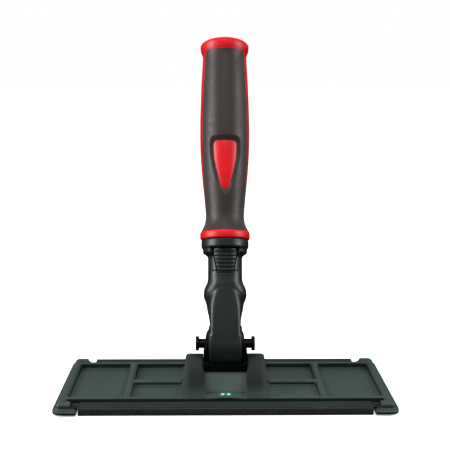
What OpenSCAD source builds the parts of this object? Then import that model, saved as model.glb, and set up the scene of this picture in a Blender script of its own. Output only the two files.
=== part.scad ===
// Hand float with a tilting two-colour grip on a ribbed plate with rubber edges.
// Frame: origin at the centre of the sole's face, +Z up, +X along the plate, -Y to the front.
// The handle is drawn upright about its pin and then leaned back by the rest angle.

/* [Plate] */
// Length of the plate
plate_l = 235; // [230:1:240]
// Width over the corner flanges
plate_w = 100; // [98:1:102]
// Radius of the plate's corners
corner_r = 7; // [5:0.5:8]
// Height of the plate's flat underside
plate_z = 1; // [0.8:0.1:1.2]
// Height of the tray floor
floor_z = 3.3; // [3:0.1:3.5]
// Height of the tray's rim
rim_z = 7.5; // [7:0.1:8]
// Thickness of the rim walls
rim_t = 3.5; // [3:0.1:4]
// Outer face of the rim walls, from the centre line
rim_y = 35.8; // [35:0.1:36]
// Width of the cross ribs
rib_w = 5.6; // [4:0.1:6]
// Cross ribs, from the middle of the plate
rib_x = 68.5; // [60:0.5:75]
// Width of the end ridges
ridge_w = 6.8; // [6:0.1:7]

/* [Edge strips] */
// Length of the rubber-edged strips
strip_l = 199; // [190:0.1:200]
// Height of the strips' top face
strip_z = 5.9; // [5.6:0.1:6.2]
// Outer face of the rubber, from the centre line
strip_y = 48.2; // [47.6:0.1:48.4]

/* [Centre block] */
// Gap between the two cheeks
cheek_gap = 31.7; // [31.6:0.1:32.2]
// Thickness of each cheek
cheek_t = 13; // [12:0.1:14]
// Height of the cheeks
cheek_z = 26.3; // [25:0.1:28]
// Height of the seat under the yoke
seat_z = 17; // [16:0.1:17.2]

/* [Tilt joint] */
// Height of the tilt pin above the sole
pin_z = 34.5; // [34:0.1:35]
// Diameter of the tilt pin
pin_d = 6.8; // [6:0.1:7]
// Length of the pin over its two heads
pin_l = 42.6; // [41:0.1:44]
// Radius of the arm's knuckle
knuckle_r = 15; // [14:0.1:15]
// Width of the arm's knuckle
knuckle_w = 22.3; // [21:0.1:22.4]
// Backward lean of the handle as it stands
lean = 18.5; // [0:0.5:30]

/* [Arm] */
// Radius of the round neck
neck_r = 12.5; // [12:0.1:12.8]
// Largest half width of the shoulders
shoulder_r = 15.7; // [15:0.1:15.7]
// Radius of the flange under the grip
flange_r = 17.3; // [17:0.1:18]

/* [Grip] */
// Distance from the pin to the foot of the grip
grip_u = 75; // [74.6:0.1:75.6]
// Radius of the red ring at the foot
ring_r = 18.2; // [17.8:0.1:18.6]
// Radius at the waist
waist_r = 14.1; // [13.5:0.05:14.5]
// Radius at the belly
belly_r = 18.45; // [17.5:0.05:19]
// Radius just under the end cap
crown_r = 16.4; // [16:0.1:17]
// Thickness of the soft sleeve
sleeve_t = 2.2; // [2:0.1:2.4]

/* [Hidden] */
$fn = 64;
eps = 0.01;
long = 300;

// Plate
rim_inner_y = rim_y - rim_t;
ridge_x = 112.1 * plate_l / 235;
ridge_top = 7.8;
root = 0.3;
rib_top = 7;
mid_rib_w = 4.6;
stub_x = 105.1;
stub_y = 42;
slab_y = 37.2;
tongue_y = 42;
tongue_l = 190;
tongue_z = 1.6;
tongue_t = 1.6;
rail_y = 37.6;
rail_low_z = 0.6;
rubber_y = strip_y - 1;
rubber_h = 5.4;
rubber_root_y = strip_y - 4.3;
rubber_root_t = 2;
rubber_foot_y = strip_y - 2.6;
rubber_foot_t = 1.7;
far_bay_x = 104.4;
near_bay_x = 100.6;
tab_x = 102.9;
tab_end_y = 43.4;

// Centre block
cheek_x = cheek_gap / 2;
cheek_outer_x = cheek_x + cheek_t;
crest_r = 11;
crest_y = 7;
flank_y = 34;
flank_power = 1.37;
cheek_corner_r = 5;
cheek_foot_r = 4.5;
panel_low_x = 13.8;
panel_mid_x = 14.2;
panel_mid_z = 14;
panel_high_z = 18;
seat_y = 12.3;
ramp_y = 24.3;
ramp_z = 5.8;
lip_r = 110;
lip_z = 8.1;
lip_back_y = 27;
lip_l = 31;
badge_y = 31;
badge_l = 10;
badge_w = 5.6;
badge_depth = 0.7;
badge_rise = 0.25;
badge_dome_r = 20;
core_wall = 2.5;
cheek_cell_y = 21;
seat_cell_w = 11;
socket_x = 13;
socket_y = 8.5;
socket_z = 8.5;
screw_x = 8;
screw_d = 3.5;
screw_head_d = 7;
screw_head_h = 2.4;
screw_floor_z = 6;

// Yoke
yoke_w = 31.2;
foot_w = 31.5;
foot_y = 11;
foot_z = 23;
ear_y = 8.5;
ear_gap = knuckle_w + 1.7;
dome_r = 14.2;
trough_r = knuckle_r + 0.35;
washer_t = (ear_gap - knuckle_w) / 2 - 0.05;
washer_d = 25;
pin_head_d = 10.4;
pin_head_t = 2.4;
running_gap = 0.05;
bush_r = 5;

// Arm, with u along the handle from the pin
neck_low_u = 44;
collar_low_u = 61.6;
spigot_r = 9.6;
spigot_end_u = 120;
spigot_bore_r = 6.2;
collar_r = 16.2;
flange_low_u = 68.4;
collar_gap_x = 11;

// Release lever
lever_low_u = 50.5;
lever_high_u = 68;
lever_low_x = 5.6;
lever_high_x = 9.3;
lever_back_y = 7.5;
lever_front_r = 13;
lever_gap = 0.25;
lever_pivot_u = 53.2;
lever_pivot_y = 10.6;
lever_pin_r = 0.8;
pocket_floor_y = 5.6;
ridge_count = 6;
ridge_pitch = 2.7;
ridge_rise = 0.9;
ridge_profile = [0, 0.35, 1.05, 1.4];
top_ridge_drop = 1.6;
tongue_t_y = 1.9;
tongue_low_u = 66.5;
hook_front_y = 10.9;
hook_back_y = 8.5;
hook_half_w = 3;
hook_slot_floor_y = 4.2;
hook_slot_front_y = 11.4;
hook_slot_gap = 0.4;
spring_u = 65;
spring_seat_y = 1;
spring_r = 2.1;
spring_wire_r = 0.35;
spring_turns = 5;
hook_z = 80.2;
hook_h = 2.2;

// Grip
ring_top_u = 81;
waist_u = 92.6;
belly_u = 156;
belly_power = 0.69;
crown_u = 213;
cap_wide_u = 221.2;
cap_wide_r = 18.2;
cap_dome_h = 5.3;
cap_plug_l = 8;
plug_r = 10.75;
socket_r = 9.9;
core_bore_r = 10.8;
stripe_half_w = 8.2;
stripe_low_u = 103;
stripe_step_u = 9;
window_top_u = 146;
window_low_u = 110.5;
window_half_w = 8.8;
window_recess = 0.9;

black = [0.10, 0.10, 0.11];
plate_green = [0.19, 0.23, 0.22];
red = [0.84, 0.08, 0.10];

// ---- helpers ----

module at_handle() {
    translate([0, 0, pin_z])
        rotate([-lean, 0, 0])
            children();
}

module along_x(length) {
    rotate([90, 0, 90])
        linear_extrude(length, center = true)
            children();
}

// Outline drawn in X and height, extruded front to back between two Y values
module along_y(y_front, y_back) {
    translate([0, y_back, 0])
        rotate([90, 0, 0])
            linear_extrude(y_back - y_front)
                children();
}

module x_rod(r, length) {
    rotate([0, 90, 0])
        cylinder(r = r, h = length, center = true);
}

module round_rect(w, h, r) {
    square([w - 2 * r, h], center = true);
    square([w, h - 2 * r], center = true);
    for (sx = [-1, 1], sy = [-1, 1])
        translate([sx * (w / 2 - r), sy * (h / 2 - r)])
            circle(r);
}

// Section of a rounded rib that stands on the tray floor
module loaf(width, top) {
    translate([0, top - width / 2])
        circle(width / 2);
    translate([-width / 2, floor_z - root])
        square([width, top - width / 2 - floor_z + root]);
}

module mirrored_x() {
    children();
    mirror([1, 0, 0]) children();
}

module mirrored_y() {
    children();
    mirror([0, 1, 0]) children();
}

// ---- plate ----

module plate_outline() {
    difference() {
        round_rect(plate_l, plate_w, corner_r);
        translate([-far_bay_x, slab_y])
            square([2 * far_bay_x, 20]);
        translate([-near_bay_x, -slab_y - 20])
            square([2 * near_bay_x, 20]);
    }
}

module end_ridge() {
    translate([ridge_x, 0, 0])
        along_y(-stub_y, stub_y)
            loaf(ridge_w, ridge_top);
    mirrored_y()
        translate([ridge_x, stub_y, 0]) {
            translate([(stub_x - ridge_x) / 2, 0, 0])
                along_x(ridge_x - stub_x)
                    loaf(ridge_w, ridge_top);
            translate([0, 0, ridge_top - ridge_w / 2])
                sphere(ridge_w / 2);
            translate([0, 0, floor_z - root])
                cylinder(r = ridge_w / 2, h = ridge_top - ridge_w / 2 - floor_z + root);
        }
}

module tray_ribs() {
    translate([rib_x, 0, 0])
        along_y(-rim_inner_y - 1, rim_inner_y + 1)
            loaf(rib_w, rib_top);
    translate([(rib_x + cheek_outer_x) / 2, 0, 0])
        along_x(rib_x - cheek_outer_x + 4)
            loaf(mid_rib_w, rib_top);
}

function flank(y) =
    rim_z + (cheek_z - crest_r * (1 - cos(asin(crest_y / crest_r))) - rim_z)
    * pow((flank_y - y) / (flank_y - crest_y), flank_power);

// Side outline of a cheek: a round crest with flanks that flare out to the rim
module cheek_side(inset = 0) {
    steps = 16;
    half = [for (i = [0:steps]) let (y = crest_y + (flank_y - crest_y) * i / steps)
        [y - inset, flank(y) - inset]];
    mirrored = [for (i = [steps:-1:0]) [-half[i][0], half[i][1]]];
    intersection() {
        union() {
            polygon(concat(half, [[flank_y - inset, plate_z + 0.5], [inset - flank_y, plate_z + 0.5]],
                mirrored));
            translate([0, cheek_z - crest_r])
                circle(crest_r - inset);
        }
        translate([-flank_y, plate_z])
            square([2 * flank_y, cheek_z]);
    }
}

// Front outline of a cheek: round shoulder, straight sides and a flared foot
module cheek_front() {
    translate([cheek_x, plate_z])
        square([cheek_t - cheek_corner_r, cheek_z - plate_z]);
    translate([cheek_x, plate_z])
        square([cheek_t, cheek_z - plate_z - cheek_corner_r]);
    translate([cheek_outer_x - cheek_corner_r, cheek_z - cheek_corner_r])
        circle(cheek_corner_r);
    difference() {
        translate([cheek_outer_x - 1, floor_z - root])
            square([cheek_foot_r + 1, cheek_foot_r + root]);
        translate([cheek_outer_x + cheek_foot_r, floor_z + cheek_foot_r])
            circle(cheek_foot_r);
    }
}

// The cheeks' inner walls stand closer together in front of the yoke and behind it
module cheek_fillet() {
    polygon([[panel_low_x, plate_z], [panel_mid_x, panel_mid_z], [cheek_x - 0.8, panel_high_z],
        [cheek_x, cheek_z], [cheek_x + 1, cheek_z], [cheek_x + 1, plate_z]]);
}

module cheeks() {
    intersection() {
        along_x(2 * (cheek_outer_x + cheek_foot_r))
            cheek_side();
        mirrored_x() {
            along_y(-flank_y, flank_y)
                cheek_front();
            mirrored_y()
                along_y(-flank_y, -seat_y)
                    cheek_fillet();
        }
    }
}

module pedestal() {
    along_x(cheek_gap + 2)
        polygon([[-ramp_y, plate_z + 0.5], [-ramp_y, ramp_z], [-seat_y, seat_z], [seat_y, seat_z],
            [ramp_y, ramp_z], [ramp_y, plate_z + 0.5]]);
}

module front_lip() {
    intersection() {
        along_y(-rim_y, -lip_back_y)
            translate([0, lip_z - lip_r])
                circle(lip_r, $fn = 200);
        translate([-lip_l / 2, -rim_y, floor_z - root])
            cube([lip_l, rim_y - lip_back_y, 10]);
    }
}

// Weight-saving cells under the cheeks and the seat, open to the underside
module underside_cells() {
    cell_w = cheek_t - 2 * core_wall;
    mirrored_x() {
        translate([cheek_x + cheek_t / 2, 0, 0])
            intersection() {
                along_x(cell_w)
                    cheek_side(core_wall);
                translate([-cell_w / 2, -cheek_cell_y, 0])
                    cube([cell_w, 2 * cheek_cell_y, cheek_z]);
            }
        translate([cheek_x + cheek_t / 2 - cell_w / 2, -cheek_cell_y, plate_z - 1])
            cube([cell_w, 2 * cheek_cell_y, 3]);
        translate([screw_x - seat_cell_w / 2, -socket_y, plate_z - 1])
            cube([seat_cell_w, 2 * socket_y, screw_floor_z - plate_z + 1]);
    }
}

module base_plate() {
    color(plate_green)
        difference() {
            union() {
                translate([0, 0, plate_z])
                    linear_extrude(floor_z - plate_z)
                        plate_outline();
                translate([-tongue_l / 2, -tongue_y, tongue_z])
                    cube([tongue_l, 2 * tongue_y, tongue_t]);
                mirrored_y()
                    translate([-ridge_x, rim_inner_y, floor_z - root])
                        cube([2 * ridge_x, rim_t, rim_z - floor_z + root]);
                mirrored_x() {
                    end_ridge();
                    tray_ribs();
                }
                cheeks();
                pedestal();
                front_lip();
            }
            underside_cells();
            translate([-socket_x, -socket_y, socket_z])
                cube([2 * socket_x, 2 * socket_y, seat_z]);
            mirrored_x()
                translate([screw_x, 0, 0])
                    cylinder(d = screw_d, h = seat_z);
            badge_pill(0.4, lip_z - badge_depth);
        }
}

// ---- strips along the long edges ----

module rail_side() {
    difference() {
        translate([rail_y, rail_low_z])
            square([rubber_y - rail_y, strip_z - rail_low_z]);
        translate([rail_y - 1, tongue_z - 0.2])
            square([tongue_y + 1.2 - rail_y, tongue_t + 0.4]);
        translate([rubber_root_y, tongue_z])
            square([4, rubber_root_t]);
        translate([tongue_y, strip_z - 0.6])
            square([1.1, 1]);
        translate([rubber_foot_y, 0])
            square([2, rubber_foot_t]);
    }
}

module rail() {
    along_x(strip_l)
        rail_side();
    along_x(2 * tab_x)
        translate([rail_y + 0.4, tongue_z + tongue_t + 0.2])
            square([tab_end_y - rail_y - 0.4, 0.9]);
}

module edge_rubber() {
    along_x(strip_l) {
        translate([rubber_y, 0])
            square([strip_y - rubber_y, rubber_h]);
        translate([rubber_foot_y, 0])
            square([rubber_y - rubber_foot_y + 0.1, rubber_foot_t]);
        translate([rubber_root_y, tongue_z])
            square([rubber_y - rubber_root_y + 0.1, rubber_root_t]);
    }
}

module front_rail() {
    color(plate_green)
        mirror([0, 1, 0]) rail();
}

module rear_rail() {
    color(plate_green)
        rail();
}

module front_edge_rubber() {
    color(black)
        mirror([0, 1, 0]) edge_rubber();
}

module rear_edge_rubber() {
    color(black)
        edge_rubber();
}

module hook_sole() {
    color([0.13, 0.14, 0.14])
        linear_extrude(plate_z)
            round_rect(plate_l - 3, 2 * 37, 5);
}

// ---- badge on the front lip ----

module badge_pill(grow, z_low) {
    translate([0, -badge_y, z_low])
        linear_extrude(4)
            round_rect(badge_l + grow, badge_w + grow, (badge_w + grow) / 2 - eps);
}

module badge_pips() {
    mirrored_x()
        translate([badge_l / 5, -badge_y, lip_z - 0.05])
            cylinder(r = 1.1, h = 0.4);
}

module badge() {
    color([0.05, 0.45, 0.28])
        difference() {
            intersection() {
                badge_pill(0, lip_z - badge_depth);
                translate([0, 0, lip_z + badge_rise - badge_dome_r])
                    rotate([90, 0, 0])
                        cylinder(r = badge_dome_r, h = 2 * plate_w, center = true, $fn = 120);
            }
            badge_pips();
        }
}

module badge_mark() {
    color("white")
        badge_pips();
}

// ---- yoke and tilt pin ----

module yoke_front() {
    polygon([[-yoke_w / 2, foot_z - 1], [yoke_w / 2, foot_z - 1], [yoke_w / 2, pin_z - 4],
        [dome_r, pin_z], [-dome_r, pin_z], [-yoke_w / 2, pin_z - 4]]);
    translate([0, pin_z])
        circle(dome_r);
}

module yoke_side() {
    translate([0, pin_z])
        circle(dome_r - 1.6);
    translate([-ear_y, foot_z - 1])
        square([2 * ear_y, pin_z - foot_z]);
}

module yoke() {
    color(black)
        difference() {
            union() {
                intersection() {
                    along_y(-20, 20)
                        yoke_front();
                    along_x(2 * yoke_w)
                        yoke_side();
                }
                translate([-foot_w / 2, -foot_y, seat_z + 0.05])
                    cube([foot_w, 2 * foot_y, foot_z - seat_z - 0.05]);
                translate([-socket_x + 0.15, -socket_y + 0.15, socket_z + 0.1])
                    cube([2 * socket_x - 0.3, 2 * socket_y - 0.3, seat_z - socket_z]);
            }
            translate([-ear_gap / 2, -30, foot_z])
                cube([ear_gap, 60, 60]);
            translate([0, 0, pin_z])
                x_rod(trough_r, ear_gap);
            translate([0, 0, pin_z])
                x_rod(pin_d / 2, 2 * yoke_w);
            mirrored_x()
                translate([screw_x, 0, 0])
                    cylinder(d = screw_d, h = seat_z - 0.6);
        }
}

module yoke_screws() {
    color([0.6, 0.6, 0.62])
        mirrored_x()
            translate([screw_x, 0, 0])
                difference() {
                    union() {
                        cylinder(d = screw_d, h = seat_z - 1.2);
                        translate([0, 0, screw_floor_z - screw_head_h])
                            cylinder(d = screw_head_d, h = screw_head_h);
                    }
                    cylinder(d = 2 * screw_head_d, h = screw_floor_z - screw_head_h);
                    cube([4.4, 0.9, 2 * (screw_floor_z - 1.4)], center = true);
                    cube([0.9, 4.4, 2 * (screw_floor_z - 1.4)], center = true);
                }
}

module tilt_pin() {
    shaft_end = pin_l / 2 - pin_head_t;
    color([0.12, 0.12, 0.13])
        translate([0, 0, pin_z])
            rotate([0, 90, 0]) {
                translate([0, 0, -shaft_end])
                    cylinder(d = pin_d, h = 2 * shaft_end);
                translate([0, 0, -pin_l / 2])
                    cylinder(d = pin_head_d, h = pin_head_t);
                translate([0, 0, shaft_end - eps])
                    cylinder(d = pin_d - 2, h = pin_head_t - 0.6);
            }
}

module pin_cap() {
    shaft_end = pin_l / 2 - pin_head_t;
    color([0.12, 0.12, 0.13])
        translate([0, 0, pin_z])
            rotate([0, 90, 0])
                difference() {
                    translate([0, 0, shaft_end])
                        cylinder(d = pin_head_d, h = pin_head_t);
                    translate([0, 0, shaft_end - 1])
                        cylinder(d = pin_d - 2, h = pin_head_t - 0.6 + 1);
                }
}

module friction_washers() {
    color([0.75, 0.70, 0.55])
        mirrored_x()
            translate([ear_gap / 2 - washer_t, 0, pin_z])
                rotate([0, 90, 0])
                    difference() {
                        cylinder(d = washer_d, h = washer_t);
                        translate([0, 0, -1])
                            cylinder(d = pin_d + 0.4, h = washer_t + 2);
                    }
}

// ---- arm ----

function blend(t) = (1 - cos(180 * min(1, max(0, t)))) / 2;

// Half width of the arm's body at u: column, shoulders, then neck
body_widths = [[13.5, knuckle_w / 2], [16, 11.4], [19, 11.9], [24, 13], [28.5, 13.7], [31, 14.8],
    [33.5, shoulder_r], [37, shoulder_r - 0.2], [39.6, 15], [42.4, 13.5], [45, 12.6], [47.5, neck_r]];
function body_x(u) = lookup(u, body_widths);

// Front depth of the body: the shoulders overhang a hollow above the column
body_depths = [[24, 4], [29, 7.5], [33, 11], [37, 12.8], [42, 13.2], [47, neck_r + 0.1]];
function body_front(u) = lookup(u, body_depths);

// Half width of the column's front, which ends in an arch under the shoulders
spine_widths = [[16, knuckle_w / 2], [26, 12], [31, 11.8], [35, 10.8], [38, 9.2], [41, 6.5],
    [43, 4], [44.5, 1.5]];
function spine_x(u) = lookup(u, spine_widths);

function spine_front(u) = knuckle_r - 2 * blend((u - 4) / 44);

function ring_points(half_x, front, rear, power, count) =
    [for (i = [0:count - 1])
        let (a = 360 * i / count, c = cos(a), s = sin(a), depth = s < 0 ? front : rear)
        [half_x * sign(c) * pow(abs(c), 2 / power), depth * sign(s) * pow(abs(s), 2 / power)]];

// Closed loft through rings given as [height, points]
module loft(rings) {
    count = len(rings[0][1]);
    last = len(rings) - 1;
    points = [for (ring = rings, p = ring[1]) [p[0], p[1], ring[0]]];
    sides = [for (k = [0:last - 1], i = [0:count - 1]) let (j = (i + 1) % count)
        [k * count + i, (k + 1) * count + i, (k + 1) * count + j, k * count + j]];
    low = [for (i = [0:count - 1]) i];
    high = [for (i = [count - 1:-1:0]) last * count + i];
    polyhedron(points, concat(sides, [low, high]), convexity = 6);
}

module arm_body() {
    step = 2.5;
    loft([for (u = [2:step:52]) [u, ring_points(body_x(u), body_front(u),
        neck_r + 1.6 * (1 - blend(u / 44)), 2.5, 36)]]);
}

// Squareness of the spine: boxy beside the knuckle, round at the neck
function spine_power(u) = 9 - 5 * blend((u - 8) / 26);

module arm_spine() {
    step = 1.5;
    loft([for (u = [0:step:44.5])
        [u, ring_points(spine_x(u), spine_front(u), 3, spine_power(u), 32)]]);
}

module arm_collar() {
    rotate_extrude()
        polygon([[0, neck_low_u], [neck_r, neck_low_u], [neck_r, flange_low_u],
            [flange_r - 0.8, flange_low_u], [flange_r, flange_low_u + 0.8],
            [flange_r, grip_u - 0.7], [flange_r - 0.7, grip_u], [spigot_r, grip_u],
            [spigot_r, spigot_end_u - 1.5], [spigot_r - 1.5, spigot_end_u], [0, spigot_end_u]]);
    // The collar under the flange is open at the front, where the lever comes out
    difference() {
        rotate_extrude()
            polygon([[neck_r - 1, collar_low_u], [neck_r, collar_low_u],
                [neck_r + 0.8, collar_low_u + 1.6], [collar_r - 0.5, collar_low_u + 3],
                [collar_r, collar_low_u + 3.8], [collar_r, flange_low_u - 0.6],
                [collar_r - 0.4, flange_low_u + 0.1], [neck_r - 1, flange_low_u + 0.1]]);
        translate([-collar_gap_x, -30, collar_low_u - 1])
            cube([2 * collar_gap_x, 30, flange_low_u - collar_low_u + 1]);
    }
}

module lever_outline(grow) {
    slope = (lever_high_x - lever_low_x) / (lever_high_u - lever_low_u);
    polygon([for (c = [[-1, 0], [-1, 1], [1, 1], [1, 0]])
        let (u = c[1] == 0 ? lever_low_u - grow : lever_high_u + grow)
        [c[0] * (lever_low_x + grow + slope * (u - lever_low_u)), u]]);
}

module arm() {
    color(black)
        at_handle()
            difference() {
                union() {
                    x_rod(knuckle_r, knuckle_w);
                    arm_body();
                    arm_spine();
                    arm_collar();
                }
                x_rod(bush_r, 2 * knuckle_w);
                translate([0, 0, spigot_end_u - 44])
                    cylinder(r = spigot_bore_r, h = 60);
                along_y(-20, -pocket_floor_y)
                    lever_outline(lever_gap);
                translate([0, -spring_seat_y, spring_u])
                    rotate([90, 0, 0])
                        cylinder(r = spring_r + spring_wire_r + 0.3, h = 10);
                translate([-hook_half_w - hook_slot_gap, -hook_slot_front_y, lever_high_u - 4])
                    cube([2 * (hook_half_w + hook_slot_gap), hook_slot_front_y - hook_slot_floor_y, 20]);
                translate([0, -lever_pivot_y, lever_pivot_u])
                    x_rod(lever_pin_r, 14);
            }
}

module arm_bush() {
    color([0.72, 0.70, 0.66])
        at_handle()
            rotate([0, 90, 0])
                difference() {
                    cylinder(r = bush_r, h = knuckle_w, center = true);
                    cylinder(r = pin_d / 2 + running_gap, h = 2 * knuckle_w, center = true);
                }
}

// ---- release lever ----

module lever_pad() {
    ridges = [for (i = [0:ridge_count - 1], k = [0:3])
        let (u = lever_high_u - top_ridge_drop - i * ridge_pitch)
        [lever_front_r + (k == 1 || k == 2 ? ridge_rise : 0), u - ridge_profile[k]]];
    intersection() {
        rotate_extrude()
            polygon(concat([[lever_back_y - 1, lever_low_u - 1], [lever_back_y - 1, lever_high_u + 1],
                [lever_front_r, lever_high_u + 1]], ridges, [[lever_front_r, lever_low_u - 1]]));
        along_y(-20, -lever_back_y)
            lever_outline(0);
    }
}

module release_lever() {
    color(black)
        at_handle()
            difference() {
                union() {
                    lever_pad();
                    translate([-hook_half_w, -lever_back_y - tongue_t_y, tongue_low_u])
                        cube([2 * hook_half_w, tongue_t_y, hook_z + hook_h - tongue_low_u]);
                    translate([-hook_half_w, -hook_front_y, hook_z])
                        cube([2 * hook_half_w, hook_front_y - hook_back_y, hook_h]);
                }
                translate([0, -lever_pivot_y, lever_pivot_u])
                    x_rod(lever_pin_r + running_gap, 30);
            }
}

module lever_pin() {
    color([0.6, 0.6, 0.62])
        at_handle()
            translate([0, -lever_pivot_y, lever_pivot_u])
                x_rod(lever_pin_r, 14);
}

// Coil spring as a tube swept along a helix on the spring axis
module coil(coil_r, wire_r, turns, length) {
    sides = 6;
    steps = 12 * turns;
    rings = [for (k = [0:steps]) let (a = 30 * k)
        [for (i = [0:sides - 1]) let (b = 360 * i / sides, r = coil_r + wire_r * cos(b))
            [r * cos(a), r * sin(a), wire_r * (1 + sin(b)) + (length - 2 * wire_r) * k / steps]]];
    faces = [for (k = [0:steps - 1], i = [0:sides - 1]) let (j = (i + 1) % sides)
        [k * sides + i, (k + 1) * sides + i, (k + 1) * sides + j, k * sides + j]];
    start = [for (i = [0:sides - 1]) i];
    end = [for (i = [sides - 1:-1:0]) steps * sides + i];
    polyhedron([for (ring = rings, p = ring) p], concat(faces, [start, end]), convexity = 8);
}

module lever_spring() {
    color([0.7, 0.7, 0.72])
        at_handle()
            translate([0, -spring_seat_y - 0.02, spring_u])
                rotate([90, 0, 0])
                    coil(spring_r, spring_wire_r, spring_turns, lever_back_y - spring_seat_y - 0.1);
}

// ---- grip ----

function grip_r(u) =
    u < waist_u ? waist_r + (17.6 - waist_r) * pow((waist_u - u) / (waist_u - ring_top_u), 2.2)
    : u < belly_u ? waist_r
        + (belly_r - waist_r) * blend(pow((u - waist_u) / (belly_u - waist_u), belly_power))
    : belly_r - (belly_r - crown_r) * pow((u - belly_u) / (crown_u - belly_u), 1.8);

module grip_revolve(u_low, u_high, inset, inner_r) {
    steps = 24;
    rotate_extrude()
        polygon(concat([[inner_r, u_low]],
            [for (i = [0:steps]) let (u = u_low + (u_high - u_low) * i / steps)
                [grip_r(u) - inset, u]],
            [[inner_r, u_high]]));
}

// Side window of the sleeve: pointed at the waist and open towards the cap
module stripe_outline() {
    steps = 8;
    right = [for (i = [0:steps])
        let (u = stripe_low_u + (crown_u + 1 - stripe_low_u) * i / steps)
        [stripe_half_w * sqrt(sin(90 * min(1, (u - stripe_low_u) / 60))), u]];
    left = [for (i = [steps:-1:1]) [-right[i][0], right[i][1]]];
    polygon(concat(right, left));
}

module stripes() {
    rotate([0, 0, 90])
        along_y(-30, 30)
            stripe_outline();
}

// Front window: wide and round at the top, drawn in to a narrow tip
module window_outline(grow) {
    top_r = 3.2;
    hull() {
        for (s = [-1, 1])
            translate([s * (window_half_w - top_r), window_top_u - top_r])
                circle(top_r + grow, $fn = 32);
        for (s = [-1, 1])
            translate([s * (window_half_w - 4.4), window_top_u - 16])
                circle(3.6 + grow, $fn = 32);
        translate([0, window_low_u + 3.4])
            circle(3.4 + grow, $fn = 32);
    }
}

module grip_core() {
    color(red)
        at_handle()
            difference() {
                union() {
                    grip_revolve(ring_top_u, crown_u, sleeve_t, 0);
                    rotate_extrude()
                        polygon([[0, grip_u], [ring_r - 0.8, grip_u], [ring_r, grip_u + 0.9],
                            [ring_r, ring_top_u - 1.4], [ring_r - 1.2, ring_top_u], [0, ring_top_u]]);
                    intersection() {
                        grip_revolve(stripe_low_u, crown_u, 0, 4);
                        stripes();
                    }
                    intersection() {
                        grip_revolve(window_low_u - 1, window_top_u + 1, window_recess, 4);
                        along_y(-30, 0)
                            window_outline(0);
                    }
                }
                translate([0, 0, grip_u - 1])
                    cylinder(r = socket_r, h = spigot_end_u - grip_u + 3);
                translate([0, 0, spigot_end_u + 2 - eps])
                    cylinder(r = core_bore_r, h = long);
                translate([-hook_half_w - hook_slot_gap, -hook_slot_front_y - 0.2, hook_z - 0.5])
                    cube([2 * (hook_half_w + hook_slot_gap), 6, hook_h + 2]);
            }
}

module grip_sleeve() {
    color(black)
        at_handle()
            difference() {
                grip_revolve(ring_top_u, crown_u, 0, 4);
                grip_revolve(ring_top_u - eps, crown_u + eps, sleeve_t, 0);
                stripes();
                along_y(-30, 0)
                    window_outline(0);
            }
}

module end_cap() {
    steps = 10;
    dome = [for (i = [0:steps]) let (a = 90 * i / steps)
        [cap_wide_r * pow(cos(a), 0.75), cap_wide_u + cap_dome_h * pow(sin(a), 0.95)]];
    color(red)
        at_handle()
            rotate_extrude()
                polygon(concat([[0, crown_u - cap_plug_l], [plug_r, crown_u - cap_plug_l],
                    [plug_r, crown_u], [crown_r, crown_u], [crown_r + 0.3, crown_u + 2],
                    [cap_wide_r - 0.4, crown_u + 5], [cap_wide_r, crown_u + 7.2]], dome));
}

base_plate();
front_rail();
rear_rail();
front_edge_rubber();
rear_edge_rubber();
hook_sole();
badge();
badge_mark();
yoke();
yoke_screws();
tilt_pin();
pin_cap();
friction_washers();
arm();
arm_bush();
release_lever();
lever_pin();
lever_spring();
grip_core();
grip_sleeve();
end_cap();
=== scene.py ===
"""Looks for the hand float: every visible piece, its material, the studio and the camera."""
import math

import bmesh
import bpy
import numpy as np
from mathutils import Matrix, Vector


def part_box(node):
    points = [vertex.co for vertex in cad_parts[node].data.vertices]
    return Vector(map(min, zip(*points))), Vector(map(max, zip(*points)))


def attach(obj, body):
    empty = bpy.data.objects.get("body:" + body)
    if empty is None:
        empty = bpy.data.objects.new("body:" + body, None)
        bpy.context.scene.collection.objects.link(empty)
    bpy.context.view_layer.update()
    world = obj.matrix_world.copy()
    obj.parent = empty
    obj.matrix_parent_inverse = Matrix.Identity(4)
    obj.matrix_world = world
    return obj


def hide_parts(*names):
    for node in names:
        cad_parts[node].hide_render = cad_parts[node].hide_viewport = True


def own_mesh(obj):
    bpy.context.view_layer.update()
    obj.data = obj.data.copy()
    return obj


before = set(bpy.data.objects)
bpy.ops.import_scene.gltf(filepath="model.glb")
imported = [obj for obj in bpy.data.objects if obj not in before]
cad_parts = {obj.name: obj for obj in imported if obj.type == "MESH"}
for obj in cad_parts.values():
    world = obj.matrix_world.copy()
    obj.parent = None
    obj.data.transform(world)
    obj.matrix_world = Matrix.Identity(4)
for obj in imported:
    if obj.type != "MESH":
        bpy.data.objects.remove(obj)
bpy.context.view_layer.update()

MM = 0.001
# The tilt pin's height, and how far the handle leans back at rest
PIN_Z = 34.5
LEAN = math.radians(18.5)
PLATE_BODY, HANDLE_BODY, LEVER_BODY = "base", "handle", "lever"
# Radius that stands for a point on the axis, so that solids of revolution close
AXIS_R = 0.01

# ---------------------------------------------------------------- materials

# The colour sockets of a mix node
MIX_A, MIX_B, MIX_RESULT = 6, 7, 2


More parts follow.
